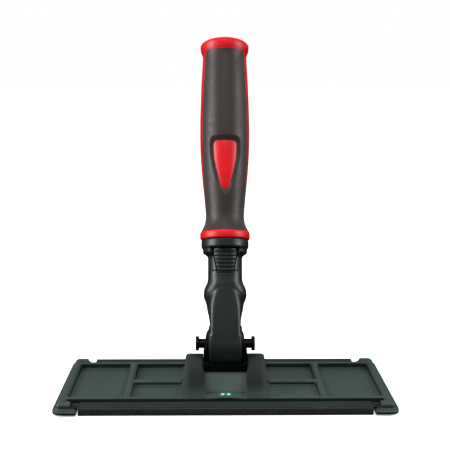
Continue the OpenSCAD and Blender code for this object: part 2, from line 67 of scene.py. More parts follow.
class Shader:
    """A material under construction: adds nodes and links them."""

    def __init__(self, name):
        self.material = bpy.data.materials.new(name)
        self.material.use_nodes = True
        self.tree = self.material.node_tree
        self.bsdf = self.tree.nodes["Principled BSDF"]
        self.place = self.add("ShaderNodeTexCoord").outputs["Object"]

    def add(self, kind, **settings):
        node = self.tree.nodes.new(kind)
        for key, value in settings.items():
            setattr(node, key, value)
        return node

    def link(self, source, target):
        self.tree.links.new(source, target)

    def noise(self, per_mm, detail=2.0, roughness=0.5, stretch=None):
        """Noise with per_mm lumps to the millimetre, in the object's own coordinates."""
        node = self.add("ShaderNodeTexNoise")
        node.inputs["Scale"].default_value = per_mm / MM
        node.inputs["Detail"].default_value = detail
        node.inputs["Roughness"].default_value = roughness
        place = self.place
        if stretch:
            mapping = self.add("ShaderNodeMapping")
            mapping.inputs["Scale"].default_value = stretch
            self.link(place, mapping.inputs["Vector"])
            place = mapping.outputs["Vector"]
        self.link(place, node.inputs["Vector"])
        return node.outputs["Fac"]

    def remap(self, value, low, high, start=0.3, end=0.7):
        """From low to high as value goes from start to end."""
        node = self.add("ShaderNodeMapRange")
        node.inputs["From Min"].default_value = start
        node.inputs["From Max"].default_value = end
        node.inputs["To Min"].default_value = low
        node.inputs["To Max"].default_value = high
        self.link(value, node.inputs["Value"])
        return node.outputs["Result"]

    def mix(self, factor, one, two):
        """Blends two colours by factor; each is a tuple or a socket."""
        node = self.add("ShaderNodeMix", data_type="RGBA")
        self.link(factor, node.inputs["Factor"])
        for socket, colour in ((node.inputs[MIX_A], one), (node.inputs[MIX_B], two)):
            if isinstance(colour, tuple):
                socket.default_value = (*colour, 1.0)
            else:
                self.link(colour, socket)
        return node.outputs[MIX_RESULT]

    def bump(self, height, strength, depth_mm):
        node = self.add("ShaderNodeBump")
        node.inputs["Strength"].default_value = strength
        node.inputs["Distance"].default_value = depth_mm * MM
        self.link(height, node.inputs["Height"])
        return node.outputs["Normal"]

    def multiply(self, one, two):
        node = self.add("ShaderNodeMath", operation="MULTIPLY")
        self.link(one, node.inputs[0])
        self.link(two, node.inputs[1])
        return node.outputs["Value"]

    def axes(self, vector):
        """The X, Y and Z outputs of a vector."""
        node = self.add("ShaderNodeSeparateXYZ")
        self.link(vector, node.inputs["Vector"])
        return node.outputs

    def crevice(self, reach_mm):
        """How open the surface is: 1 on open faces, less in corners and grooves."""
        node = self.add("ShaderNodeAmbientOcclusion", samples=6)
        node.inputs["Distance"].default_value = reach_mm * MM
        return node.outputs["AO"]

    def paint_crevice_shade(self, tone, colour, reach_mm, deep):
        """Paints shade into tone in corners and grooves: fully where the openness falls to deep."""
        in_shade = self.remap(self.crevice(reach_mm), 0, 1, OPEN_FACE, deep)
        return self.mix(in_shade, tone, shade(colour, CREVICE_SHADE_LEFT))

    def set(self, **values):
        """Sets sockets of the main shader by name, with _ for a space."""
        for key, value in values.items():
            self.bsdf.inputs[key.replace("_", " ")].default_value = value

    def finish(self, tone, rough, normal, **values):
        """Links colour, roughness and normal, and sets the other sockets by name."""
        self.link(tone, self.bsdf.inputs["Base Color"])
        self.link(rough, self.bsdf.inputs["Roughness"])
        self.link(normal, self.bsdf.inputs["Normal"])
        self.set(**values)
        return self.material


# Share of a colour that is left under the painted shade in a groove, and the openness of a face that
# gets none
CREVICE_SHADE_LEFT = 0.12
OPEN_FACE = 0.9
# Pointiness at which an edge starts to get its painted highlight and wear, and at which it has them
# fully
EDGE_LIGHT_FROM, EDGE_LIGHT_FULL = 0.52, 0.62
# Z of the surface normal below which a face gets the full painted shade of an upright face, and
# above which it gets none
UPRIGHT_SHADE_FROM, UPRIGHT_SHADE_FULL = 0.15, 0.70


def shade(colour, factor):
    return tuple(channel * factor for channel in colour)


def plastic(name, colour, rough, mottle, edge, gloss=0.5, shade_reach_mm=0, upright_shade=None, shaded_patch=None):
    """Moulded plastic: a fine eroded grain, soft patches in tone and sheen, and edges paled
    by painted highlight and wear.

    mottle is how far the tone swings, edge how pale the edges are painted for highlight and
    wear, and gloss the specular level. shade_reach_mm is how far painted shade reaches out of
    corners and grooves, upright_shade is how dark the upright faces are painted against the
    upward ones, and shaded_patch is (colour, mask maker) for an area with painted shade,
    darker than the rest.
    """
    s = Shader(name)
    patches = s.remap(s.noise(per_mm=0.045, detail=4, roughness=0.6), 0, 1)
    tone = s.mix(patches, shade(colour, 1 - mottle), shade(colour, 1 + mottle))
    edge_light_and_wear = s.add("ShaderNodeNewGeometry").outputs["Pointiness"]
    # Painted highlight and wear: sharp edges turn paler by the edge factor
    tone = s.mix(s.remap(edge_light_and_wear, 0, 1, EDGE_LIGHT_FROM, EDGE_LIGHT_FULL), tone, shade(colour, edge))
    if upright_shade:
        # Painted shade: faces that turn away from the top are darker than upward ones
        upward = s.axes(s.add("ShaderNodeNewGeometry").outputs["Normal"])["Z"]
        tone = s.mix(s.remap(upward, 0, 1, UPRIGHT_SHADE_FROM, UPRIGHT_SHADE_FULL), shade(colour, upright_shade), tone)
    if shade_reach_mm:
        # Painted shade in corners and grooves, from how closed in the surface is
        tone = s.paint_crevice_shade(tone, colour, shade_reach_mm, deep=0.55)
    if shaded_patch:
        # Painted shade on an area, here the cheeks of the centre block
        patch_shade, area = shaded_patch
        tone = s.mix(area(s), tone, patch_shade)
    sheen = s.remap(s.noise(per_mm=0.3, detail=3), rough - 0.05, rough + 0.07)
    grain = s.bump(s.noise(per_mm=2.2, detail=3, roughness=0.55), strength=0.35, depth_mm=0.03)
    return s.finish(tone, sheen, grain, Specular_IOR_Level=gloss)


def rubber(name, colour, rough, sheen=0.2, shade_reach_mm=0):
    """Soft matt moulding: faint blotches, a powdery grain and a little sheen at the edges."""
    s = Shader(name)
    blotches = s.remap(s.noise(per_mm=0.08, detail=4, roughness=0.6), 0, 1)
    tone = s.mix(blotches, shade(colour, 0.88), shade(colour, 1.12))
    specks = s.remap(s.noise(per_mm=3.2), 0, 1, 0.60, 0.74)
    tone = s.mix(specks, tone, shade(colour, 1.35))
    if shade_reach_mm:
        # Painted shade in corners and grooves
        tone = s.paint_crevice_shade(tone, colour, shade_reach_mm, deep=0.6)
    uneven = s.remap(s.noise(per_mm=0.25, detail=3), rough - 0.06, rough + 0.06)
    grain = s.bump(s.noise(per_mm=2.6, detail=3, roughness=0.6), strength=0.4, depth_mm=0.04)
    return s.finish(tone, uneven, grain, Specular_IOR_Level=0.45, Sheen_Weight=sheen,
                    Sheen_Roughness=0.4)


def glossy(name, colour, rough, coat=0.35):
    """Bright moulded plastic with a slight orange-peel skin and small scuffs."""
    s = Shader(name)
    tone = s.mix(s.remap(s.noise(per_mm=0.06, detail=3), 0, 1), shade(colour, 0.93),
                 shade(colour, 1.05))
    scuffs = s.remap(s.noise(per_mm=0.7, detail=4, roughness=0.65), rough - 0.04, rough + 0.08)
    peel = s.bump(s.noise(per_mm=0.55), strength=0.12, depth_mm=0.05)
    return s.finish(tone, scuffs, peel, Coat_Weight=coat, Coat_Roughness=0.22,
                    Specular_IOR_Level=0.5)


def steel(name, colour, rough, streak=(1, 1, 1)):
    """Metal with fine drawn marks and uneven sheen."""
    s = Shader(name)
    marks = s.noise(per_mm=1.5, detail=4, roughness=0.6, stretch=streak)
    tone = s.mix(s.remap(marks, 0, 1), shade(colour, 0.85), shade(colour, 1.1))
    uneven = s.remap(marks, rough - 0.06, rough + 0.1)
    return s.finish(tone, uneven, s.bump(marks, strength=0.25, depth_mm=0.02), Metallic=1.0)


# Limits of the painted shade on the cheeks in mm, each from where it starts to where it is full:
# two distances from the plate's middle, then two heights
CHEEK_INNER, CHEEK_OUTER = (14.0, 15.0), (34.5, 24.5)
CHEEK_FOOT, CHEEK_CREST = (3.0, 12.0), (46.0, 16.0)


def cheek_area(s):
    """Full on the two cheeks of the centre block, where their shade is painted, nothing on the rest
    of the plate.
    """
    place = s.axes(s.place)
    across = s.add("ShaderNodeMath", operation="ABSOLUTE")
    s.link(place["X"], across.inputs[0])
    across = across.outputs["Value"]
    mask = s.remap(across, 0, 1, CHEEK_INNER[0] * MM, CHEEK_INNER[1] * MM)
    for value, (start, end) in ((across, CHEEK_OUTER), (place["Z"], CHEEK_FOOT),
                                (place["Z"], CHEEK_CREST)):
        mask = s.multiply(mask, s.remap(value, 0, 1, start * MM, end * MM))
    return mask


# Plate and rails: painted shade in grooves and on upright faces, painted highlight and wear on
# edges; the plate also has painted shade on its cheeks
PLATE = plastic("plate_plastic", (0.033, 0.052, 0.045), rough=0.52, mottle=0.10, edge=1.2,
                shade_reach_mm=5, upright_shade=0.15, shaded_patch=((0.0048, 0.0074, 0.0060), cheek_area))
RAIL = plastic("rail_plastic", (0.018, 0.026, 0.0225), rough=0.6, mottle=0.10, edge=1.2,
               gloss=0.1, shade_reach_mm=2.5, upright_shade=0.3)
# Arm, yoke and washers: painted highlight and wear on their edges
ARM = plastic("arm_plastic", (0.011, 0.018, 0.0155), rough=0.38, mottle=0.15, edge=1.2)
YOKE = plastic("yoke_plastic", (0.0012, 0.0020, 0.0018), rough=0.45, mottle=0.12, edge=1.2,
               gloss=0.12)
WASHER = plastic("washer_plastic", (0.012, 0.012, 0.012), rough=0.5, mottle=0.05, edge=1.1)
# The edge rubber: painted shade in its grooves
RUBBER = rubber("edge_rubber", (0.015, 0.018, 0.0165), rough=0.62, shade_reach_mm=2)
GRIP = rubber("grip_rubber", (0.031, 0.024, 0.0215), rough=0.46, sheen=0.3)
SOLE = rubber("sole_fabric", (0.030, 0.032, 0.031), rough=0.70, sheen=0.4)
RED = glossy("grip_red", (0.74, 0.003, 0.009), rough=0.42, coat=0.05)
BADGE = glossy("badge_green", (0.010, 0.19, 0.085), rough=0.20, coat=0.8)
MARK = glossy("badge_white", (0.75, 0.80, 0.76), rough=0.30)
BLACK_STEEL = steel("black_steel", (0.030, 0.031, 0.033), rough=0.36)
ZINC = steel("zinc_steel", (0.62, 0.62, 0.60), rough=0.32, streak=(1, 1, 0.2))

# ---------------------------------------------------------------- mesh tools


def make_object(name, points_mm, faces, smooth=True):
    """An object in the scene from points in mm, with no bad faces."""
    mesh = bpy.data.meshes.new(name)
    mesh.from_pydata([tuple(p) for p in np.asarray(points_mm, float) * MM], [], faces)
    mesh.validate()
    obj = bpy.data.objects.new(name, mesh)
    bpy.context.scene.collection.objects.link(obj)
    if smooth:
        mesh.shade_smooth()
    return obj


def apply_modifiers(obj):
    """Turns an object's modifiers into its mesh."""
    bpy.context.view_layer.update()
    graph = bpy.context.evaluated_depsgraph_get()
    mesh = bpy.data.meshes.new_from_object(obj.evaluated_get(graph))
    obj.modifiers.clear()
    old, obj.data = obj.data, mesh
    bpy.data.meshes.remove(old)


def copy_node(node, name):
    """A new object with a copy of a CAD node's mesh."""
    obj = bpy.data.objects.new(name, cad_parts[node].data.copy())
    bpy.context.scene.collection.objects.link(obj)
    return obj


def soften(obj, voxel_mm, passes, keep=1.0):
    """Rounds a sharp closed shape as moulding does: voxels, smoothing, then thinning."""
    remesh = obj.modifiers.new("voxels", "REMESH")
    remesh.mode = "VOXEL"
    remesh.voxel_size = voxel_mm * MM
    remesh.use_smooth_shade = True
    if passes:
        relax = obj.modifiers.new("relax", "SMOOTH")
        relax.factor = 0.5
        relax.iterations = passes
    if keep < 1:
        thin = obj.modifiers.new("thin", "DECIMATE")
        thin.ratio = keep
    apply_modifiers(obj)
    obj.data.shade_smooth()
    return obj


def finish_piece(obj, body, node, material):
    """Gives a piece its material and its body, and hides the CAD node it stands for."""
    obj.data.materials.clear()
    obj.data.materials.append(material)
    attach(obj, body)
    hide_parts(node)


def to_row_frame(points):
    """Points (x, y, u) of the upright handle, in mm, leaned back about the pin."""
    p = np.asarray(points, float).reshape(-1, 3)
    c, s = math.cos(LEAN), math.sin(LEAN)
    return np.stack([p[:, 0], p[:, 1] * c + p[:, 2] * s, PIN_Z - p[:, 1] * s + p[:, 2] * c], 1)


def ring_faces(rings, sides):
    """Quads between consecutive rings, closed round each ring."""
    faces = []
    for k in range(rings - 1):
        a, b = k * sides, (k + 1) * sides
        for i in range(sides):
            j = (i + 1) % sides
            faces.append((a + i, a + j, b + j, b + i))
    return faces


def blend(t):
    """Eases from 0 to 1 as t does."""
    return (1 - np.cos(np.pi * np.clip(t, 0, 1))) / 2


# ---------------------------------------------------------------- plate and strips

plate = soften(copy_node("base_plate", "plate_shell"), voxel_mm=0.5, passes=5, keep=0.42)
finish_piece(plate, PLATE_BODY, "base_plate", PLATE)

for side in ("front", "rear"):
    rail = soften(copy_node(side + "_rail", side + "_rail_strip"), voxel_mm=0.4, passes=3, keep=0.7)
    finish_piece(rail, PLATE_BODY, side + "_rail", RAIL)

STRIP_HALF = 199.0 / 2
RIB_PITCH = 1.16
RIB_DEPTH = 0.28
# One rib pitch: (share of the pitch, share of the groove's depth)
RIB_SHAPE = ((0.0, 1.0), (0.14, 0.7), (0.3, 0.12), (0.5, 0.0), (0.7, 0.12), (0.86, 0.7))
# Cross section of the strip: (y, z, share of the groove's depth that it gives way by)
STRIP_SECTION = (
    (43.95, 1.65, 0), (45.65, 1.65, 0), (45.65, 0.25, 0), (45.85, 0.02, 0), (47.6, 0.02, 1),
    (48.05, 0.25, 1), (48.2, 0.7, 1), (48.2, 1.9, 1), (48.2, 3.4, 1), (48.2, 4.6, 1),
    (48.08, 5.15, 1), (47.7, 5.4, 0.5), (47.45, 5.4, 0), (47.2, 5.3, 0), (47.2, 3.6, 0),
    (43.95, 3.6, 0),
)


def ribbed_rubber(name, sign):
    """The soft edge: a flat-backed strip whose outer face carries fine upright ribs."""
    count = int(2 * STRIP_HALF / RIB_PITCH)
    pitch = 2 * STRIP_HALF / count
    stations = [(-STRIP_HALF + (k + t) * pitch, RIB_DEPTH * d)
                for k in range(count) for t, d in RIB_SHAPE]
    stations.append((STRIP_HALF, RIB_DEPTH))
    rings = [[(x, y - share * depth, z) for y, z, share in STRIP_SECTION] for x, depth in stations]
    sides = len(rings[0])
    points = np.array(rings).reshape(-1, 3)
    faces = ring_faces(len(rings), sides)
    faces.append(tuple(range(sides)))
    faces.append(tuple(reversed(range((len(rings) - 1) * sides, len(rings) * sides))))
    points[:, 1] *= sign
    if sign < 0:
        faces = [tuple(reversed(f)) for f in faces]
    return make_object(name, points, faces)


for side, sign in (("front", -1), ("rear", 1)):
    strip = ribbed_rubber(side + "_rubber_strip", sign)
    strip.data.set_sharp_from_angle(angle=math.radians(50))
    finish_piece(strip, PLATE_BODY, side + "_edge_rubber", RUBBER)

# ---------------------------------------------------------------- hook sole

# Underside of the backing; the hooks hang from it
BACKING_Z = 0.55
SOLE_CORNER, CORNER_STEPS = 5.0, 6
HOOK_PITCH = 2.05
HOOK_MARGIN_X, HOOK_MARGIN_Y = 3.0, 2.5
# A four-sided hook from its root down to its cap: (radius, z)
HOOK_SHAPE = ((0.2, BACKING_Z + 0.02), (0.17, 0.28), (0.42, 0.2), (0.3, 0.02))
HOOK_SIDES = 4


def sole_outline(half_x, half_y):
    """The sole's rounded rectangle, anticlockwise."""
    outline = []
    for sx, sy, start in ((1, 1, 0), (-1, 1, 90), (-1, -1, 180), (1, -1, 270)):
        for k in range(CORNER_STEPS + 1):
            a = math.radians(start + 90 * k / CORNER_STEPS)
            outline.append((sx * (half_x - SOLE_CORNER) + SOLE_CORNER * math.cos(a),
                            sy * (half_y - SOLE_CORNER) + SOLE_CORNER * math.sin(a)))
    return outline


def add_hook(points, faces, x, y):
    """Adds one closed hook, upside down, at x, y."""
    base = len(points)
    for r, z in HOOK_SHAPE:
        for q in range(HOOK_SIDES):
            a = math.pi / 4 + q * math.pi / 2
            points.append((x + r * math.cos(a), y + r * math.sin(a), z))
    for k in range(len(HOOK_SHAPE) - 1):
        ring = base + k * HOOK_SIDES
        for q in range(HOOK_SIDES):
            a, b = ring + q, ring + (q + 1) % HOOK_SIDES
            faces.append((b, a, a + HOOK_SIDES, b + HOOK_SIDES))
    last = base + (len(HOOK_SHAPE) - 1) * HOOK_SIDES
    faces.append(tuple(base + q for q in range(HOOK_SIDES)))
    faces.append(tuple(last + q for q in reversed(range(HOOK_SIDES))))


def hook_sheet():
    """Backing with rows of small mushroom hooks that reach the sole's face."""
    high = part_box("hook_sole")[1]
    half_x, half_y, top = high.x / MM, high.y / MM, high.z / MM
    outline = sole_outline(half_x, half_y)
    n = len(outline)
    points = [(x, y, z) for z in (BACKING_Z, top) for x, y in outline]
    faces = [(i, (i + 1) % n, n + (i + 1) % n, n + i) for i in range(n)]
    faces += [tuple(reversed(range(n))), tuple(range(n, 2 * n))]
    columns = int(2 * (half_x - HOOK_MARGIN_X) / HOOK_PITCH)
    rows = int(2 * (half_y - HOOK_MARGIN_Y) / HOOK_PITCH)
    for i in range(columns + 1):
        for j in range(rows + 1):
            add_hook(points, faces, (i - columns / 2) * HOOK_PITCH, (j - rows / 2) * HOOK_PITCH)
    return make_object("hook_sheet", points, faces, smooth=False)


finish_piece(hook_sheet(), PLATE_BODY, "hook_sole", SOLE)

# ---------------------------------------------------------------- yoke and tilt pin

for node, name, voxel_mm, slot, material in (
    ("yoke", "yoke_block", 0.4, "yoke_plastic", YOKE),
    ("tilt_pin", "headed_pin", 0.25, "black_steel", BLACK_STEEL),
    ("pin_cap", "pressed_cap", 0.22, "black_steel", BLACK_STEEL),
):
    finish_piece(soften(copy_node(node, name), voxel_mm, passes=3), PLATE_BODY, node, material)

# ---------------------------------------------------------------- arm

# Heights u are in mm along the handle from the pin; radii and half widths are in mm too
KNUCKLE_HALF, KNUCKLE_R = 22.3 / 2, 15.0
NECK_R, FLANGE_R, COLLAR_R, COLLAR_GAP = 12.5, 17.3, 16.2, 11.0
NECK_U, COLLAR_U, FLANGE_U, GRIP_U = 44.0, 61.6, 68.4, 75.0
SPIGOT_R, SPIGOT_TOP = 9.6, 120.0
# Half widths and front depths along the handle: (u, mm)
BODY_X = ((13.5, KNUCKLE_HALF), (16, 11.4), (19, 11.9), (24, 13), (28.5, 13.7), (31, 14.8),
          (33.5, 15.7), (37, 15.5), (39.6, 15), (42.4, 13.5), (45, 12.6), (47.5, NECK_R))
BODY_FRONT = ((24, 4), (29, 7.5), (33, 11), (37, 12.8), (42, 13.2), (47, NECK_R + 0.1))
SPINE_X = ((16, KNUCKLE_HALF), (26, 12), (31, 11.8), (35, 10.8), (38, 9.2), (41, 6.5), (43, 4),
           (44.5, 1.5))
BODY_START, BODY_END, BODY_STEP = 2, 52.1, 0.7
SPINE_START, SPINE_END, SPINE_STEP = 0, 44.6, 0.6
BODY_POWER, SPINE_REAR = 2.5, 3
# The release lever's face: (u, half width) at its two ends, and the pocket it sits in
LEVER_LOW, LEVER_HIGH = (50.5, 5.6), (68.0, 9.3)
LEVER_GAP, POCKET_FLOOR = 0.25, 5.6
# Bores for the bush and down the spigot, and the ends of the cutters, clear of the arm
BUSH_R, SPIGOT_BORE_R, SPIGOT_BORE_U = 5.0, 6.2, 76
BUSH_CUT_HALF, POCKET_CUT_FRONT, SPIGOT_CUT_TOP = 15, 20, SPIGOT_TOP + 10


def along(table, u):
    """A width or depth from its table, eased so that the loft has no kinks."""
    heights, values = zip(*table)
    near = u + np.linspace(-1.2, 1.2, 7)
    return float(np.interp(near, heights, values).mean())


def body_rear(u):
    """Depth of the body's back, which thins towards the neck."""
    return NECK_R + 1.6 * (1 - blend(u / NECK_U))


def spine_front(u):
    """Depth of the spine's front, which falls back a little towards the neck."""
    return KNUCKLE_R - 2 * blend((u - 4) / 44)


def spine_power(u):
    """How square the spine is: almost a block at the knuckle, an oval at the shoulders."""
    return 9 - 5 * blend((u - 8) / 26)


def oval_ring(half_x, front, rear, power, u, count=120):
    """A superellipse across the handle, with its own depth to the front and to the rear."""
    a = 2 * np.pi * np.arange(count) / count
    c, s = np.cos(a), np.sin(a)
    depth = np.where(s < 0, front, rear)
    return np.stack([half_x * np.sign(c) * np.abs(c) ** (2 / power),
                     depth * np.sign(s) * np.abs(s) ** (2 / power), np.full(count, u)], 1)


def loft(rings):
    """A closed solid through rings of points."""
    count = len(rings[0])
    faces = ring_faces(len(rings), count)
    faces.append(tuple(reversed(range(count))))
    faces.append(tuple(range((len(rings) - 1) * count, len(rings) * count)))
    return np.concatenate(rings), faces


def revolve(profile, sides=128):
    """A closed solid of revolution about the handle's axis, from (radius, u) pairs."""
    a = 2 * np.pi * np.arange(sides) / sides
    rings = [np.stack([r * np.cos(a), r * np.sin(a), np.full(sides, float(u))], 1)
             for r, u in profile]
    return loft(rings)


def cross_rod(radius, half, sides=96):
    """A rod along the tilt pin's axis."""
    a = 2 * np.pi * np.arange(sides) / sides
    rings = [np.stack([np.full(sides, x), radius * np.cos(a), radius * np.sin(a)], 1)
             for x in (-half, half)]
    return loft(rings)


def join(parts):
    """One set of points and faces from several."""
    points, faces, base = [], [], 0
    for part_points, part_faces in parts:
        points.append(part_points)
        faces += [tuple(base + i for i in f) for f in part_faces]
        base += len(part_points)
    return np.concatenate(points), faces


def prism(outline, y_low, y_high):
    """A closed block with an outline in (x, u) between two depths."""
    return loft([np.array([(x, y, u) for x, u in outline]) for y in (y_low, y_high)])


def cut(obj, cutters):
    """Takes closed shapes, given in the upright handle's mm, out of obj."""
    points, faces = join(cutters)
    tool = make_object("cutter", to_row_frame(points), faces, smooth=False)
    work = bmesh.new()
    work.from_mesh(tool.data)
    bmesh.ops.recalc_face_normals(work, faces=work.faces)
    work.to_mesh(tool.data)
    work.free()
    change = obj.modifiers.new("cut", "BOOLEAN")
    change.operation = "DIFFERENCE"
    change.solver = "EXACT"
    change.use_self = True
    change.object = tool
    apply_modifiers(obj)
    bpy.data.objects.remove(tool)


def lever_outline(grow):
    """The lever's tapered face in (x, u), grown by a gap all round."""
    slope = (LEVER_HIGH[1] - LEVER_LOW[1]) / (LEVER_HIGH[0] - LEVER_LOW[0])
    corners = []
    for side, u in ((-1, LEVER_LOW[0] - grow), (-1, LEVER_HIGH[0] + grow),
                    (1, LEVER_HIGH[0] + grow), (1, LEVER_LOW[0] - grow)):
        corners.append((side * (LEVER_LOW[1] + grow + slope * (u - LEVER_LOW[0])), u))
    return corners


# (radius, u) of the neck, the flange under the grip and the spigot inside it
NECK_PROFILE = (
    (AXIS_R, NECK_U), (NECK_R, NECK_U), (NECK_R, FLANGE_U), (16.5, FLANGE_U),
    (FLANGE_R, FLANGE_U + 0.8), (FLANGE_R, GRIP_U - 0.7), (16.6, GRIP_U), (SPIGOT_R, GRIP_U),
    (SPIGOT_R, SPIGOT_TOP - 1.5), (SPIGOT_R - 1.5, SPIGOT_TOP), (AXIS_R, SPIGOT_TOP),
)
# (radius, height over COLLAR_U) of the collar under the flange
COLLAR_PROFILE = (
    (NECK_R - 1, 0), (NECK_R, 0), (NECK_R + 0.8, 1.6), (15.0, 2.6), (15.7, 3), (COLLAR_R, 3.8),
    (COLLAR_R, 6.2), (15.8, 6.9), (NECK_R - 1, 6.9),
)


def open_collar(sides=120):
    """The ring under the flange, left out at the front where the lever comes up."""
    start = math.asin(COLLAR_GAP / COLLAR_R)
    return loft([np.array([(r * math.sin(a), -r * math.cos(a), COLLAR_U + u)
                           for r, u in COLLAR_PROFILE])
                 for a in np.linspace(start, 2 * np.pi - start, sides)])


points, faces = join([
    cross_rod(KNUCKLE_R, KNUCKLE_HALF),
    loft([oval_ring(along(BODY_X, u), along(BODY_FRONT, u), body_rear(u), BODY_POWER, u)
          for u in np.arange(BODY_START, BODY_END, BODY_STEP)]),
    loft([oval_ring(along(SPINE_X, u), spine_front(u), SPINE_REAR, spine_power(u), u, count=200)
          for u in np.arange(SPINE_START, SPINE_END, SPINE_STEP)]),
    revolve(NECK_PROFILE),
    open_collar(),
])
arm = make_object("arm_casting", to_row_frame(points), faces)
soften(arm, voxel_mm=0.5, passes=0)
cut(arm, [
    prism(lever_outline(LEVER_GAP), -POCKET_CUT_FRONT, -POCKET_FLOOR),
    cross_rod(BUSH_R, BUSH_CUT_HALF),
    revolve([(AXIS_R, SPIGOT_BORE_U), (SPIGOT_BORE_R, SPIGOT_BORE_U),
             (SPIGOT_BORE_R, SPIGOT_CUT_TOP), (AXIS_R, SPIGOT_CUT_TOP)], sides=48),
])
soften(arm, voxel_mm=0.42, passes=4, keep=0.6)
finish_piece(arm, HANDLE_BODY, "arm", ARM)

lever = soften(copy_node("release_lever", "thumb_lever"), voxel_mm=0.25, passes=2)
finish_piece(lever, LEVER_BODY, "release_lever", ARM)

# The coil between the arm and the lever, which shortens as the lever is pressed, rides on the arm
# with a mesh of its own
spring = copy_node("lever_spring", "lever_coil")
finish_piece(spring, HANDLE_BODY, "lever_spring", ZINC)
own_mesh(spring)

# ---------------------------------------------------------------- grip

# Heights and radii of the hourglass grip at its foot, waist, belly and crown, and the
# powers of the curves between them
RING_TOP, WAIST_U, BELLY_U, CROWN_U = 81.0, 92.6, 156.0, 213.0
FOOT_R, WAIST_R, BELLY_R, CROWN_R = 17.6, 14.1, 18.45, 16.4
FOOT_POWER, BELLY_POWER, CROWN_POWER = 2.2, 0.69, 1.8
# Widening under the cap: heights, and what is added to the radius there
FLARE_U = (209, CROWN_U, 215, 216.6, 218.1, 219.5)
FLARE_R = (0, 0.15, 0.6, 1.2, 1.8, 2.0)
# Red side stripes: lowest point, half width, and the height over which they widen to it
STRIPE_LOW, STRIPE_HALF, STRIPE_RISE = 103.0, 8.2, 60
# Black panels: their top in the middle, its corner radius, and where the rows start to rise
PANEL_TOP, PANEL_CORNER, PANEL_BEND_U = 216.5, 4.0, 198
SLEEVE_T = 2.2
SHARP_ANGLE = math.radians(55)


def grip_r(u):
    """The grip's outer radius, over both colours."""
    u = np.asarray(u, float)
    drop = np.clip(WAIST_U - u, 0, None) / (WAIST_U - RING_TOP)
    low = WAIST_R + (FOOT_R - WAIST_R) * drop ** FOOT_POWER
    rise = np.clip((u - WAIST_U) / (BELLY_U - WAIST_U), 0, 1) ** BELLY_POWER
    middle = WAIST_R + (BELLY_R - WAIST_R) * blend(rise)
    fall = np.clip((u - BELLY_U) / (CROWN_U - BELLY_U), 0, 1)
    high = BELLY_R - (BELLY_R - CROWN_R) * fall ** CROWN_POWER
    flare = np.interp(u, FLARE_U, FLARE_R)
    return np.where(u < WAIST_U, low, np.where(u < BELLY_U, middle, high)) + flare


def stripe_angle(u):
    """Half angle of a red side stripe, as seen from the handle's axis."""
    rise = np.clip((np.asarray(u, float) - STRIPE_LOW) / STRIPE_RISE, 0, 1)
    half = STRIPE_HALF * np.sqrt(np.sin(np.pi / 2 * rise))
    return np.arcsin(np.clip(half / grip_r(u), 0, 0.9))


# Right halves of the red window and of the hollow round it, from the top down: (x, u)
WINDOW = (
    (0.0, 146.2), (6.6, 146.2), (8.1, 145.8), (9.1, 144.8), (9.45, 143.2), (9.4, 140),
    (9.0, 135), (8.45, 131.5), (7.6, 127.5), (6.5, 123.5), (5.3, 119.2), (4.3, 115.4),
    (3.4, 112.6), (2.3, 111.1), (1.0, 110.5), (0.0, 110.3),
)
BEZEL = (
    (0.0, 149.8), (7.4, 149.7), (9.2, 149.1), (10.6, 147.8), (11.2, 145.6), (11.3, 142),
    (11.0, 137), (10.5, 133), (9.8, 129), (8.8, 124.8), (7.6, 120.6), (6.3, 116.6),
    (4.9, 112.9), (3.4, 109.8), (1.8, 107.6), (0.0, 106.6),
)


def closed_outline(half, per_step=6):
    """Smooth closed outline from its right half, listed from the top down."""
    pts = [(-x, u) for x, u in reversed(half[1:-1])] + list(half)
    pts = np.array(pts[len(half) - 2:] + pts[:len(half) - 2])
    n = len(pts)
    out = []
    for i in range(n):
        p0, p1, p2, p3 = (pts[(i + k) % n] for k in (-1, 0, 1, 2))
        for k in range(per_step):
            t = k / per_step
            out.append(0.5 * (2 * p1 + (p2 - p0) * t + (2 * p0 - 5 * p1 + 4 * p2 - p3) * t * t
                              + (3 * p1 - p0 - 3 * p2 + p3) * t ** 3))
    return np.array(out)


def signed_distance(outline, x, u):
    """Distance to a closed outline, negative inside."""
    p = np.stack([x.ravel(), u.ravel()], 1)
    best = np.full(len(p), 1e9)
    inside = np.zeros(len(p), bool)
    n = len(outline)
    for i in range(n):
        a, b = outline[i], outline[(i + 1) % n]
        ab = b - a
        t = np.clip(((p - a) @ ab) / max(ab @ ab, 1e-12), 0, 1)
        best = np.minimum(best, np.hypot(*(p - a - t[:, None] * ab).T))
        crosses = (a[1] > p[:, 1]) != (b[1] > p[:, 1])
        with np.errstate(divide="ignore", invalid="ignore"):
            at = a[0] + (p[:, 1] - a[1]) * ab[0] / ab[1]
        inside ^= crosses & (p[:, 0] < at)
    return np.where(inside, -best, best).reshape(x.shape)


WINDOW_LINE, BEZEL_LINE = closed_outline(WINDOW), closed_outline(BEZEL)

# Radius of the panels' rolled edges, and where the grid's columns stand across them
EDGE = 0.6
EDGE_STEPS = (0.0, 0.05, 0.16, 0.33, 0.6)
# Half width of the finely divided front, which holds the window, and the number of columns
# across that half, across a panel's flank and across half a stripe
FINE_HALF = 12.4
FINE_COLUMNS, FLANK_COLUMNS, STRIPE_COLUMNS = 35, 11, 8


def spaced(start, end, step):
    """Even stations from start to end, about a step apart."""
    count = max(1, int(round(abs(end - start) / step)))
    return list(np.linspace(start, end, count + 1))


# Rows of the grid: close together where the stripes start and over the window
STRIPES_SET, WINDOW_PAST = 106, 150.4
ROWS = np.array(sorted(set(np.round(
    spaced(RING_TOP, STRIPE_LOW, 1.0) + spaced(STRIPE_LOW, STRIPES_SET, 0.3)
    + spaced(STRIPES_SET, WINDOW_PAST, 0.36) + spaced(WINDOW_PAST, CROWN_U, 1.4), 4))))


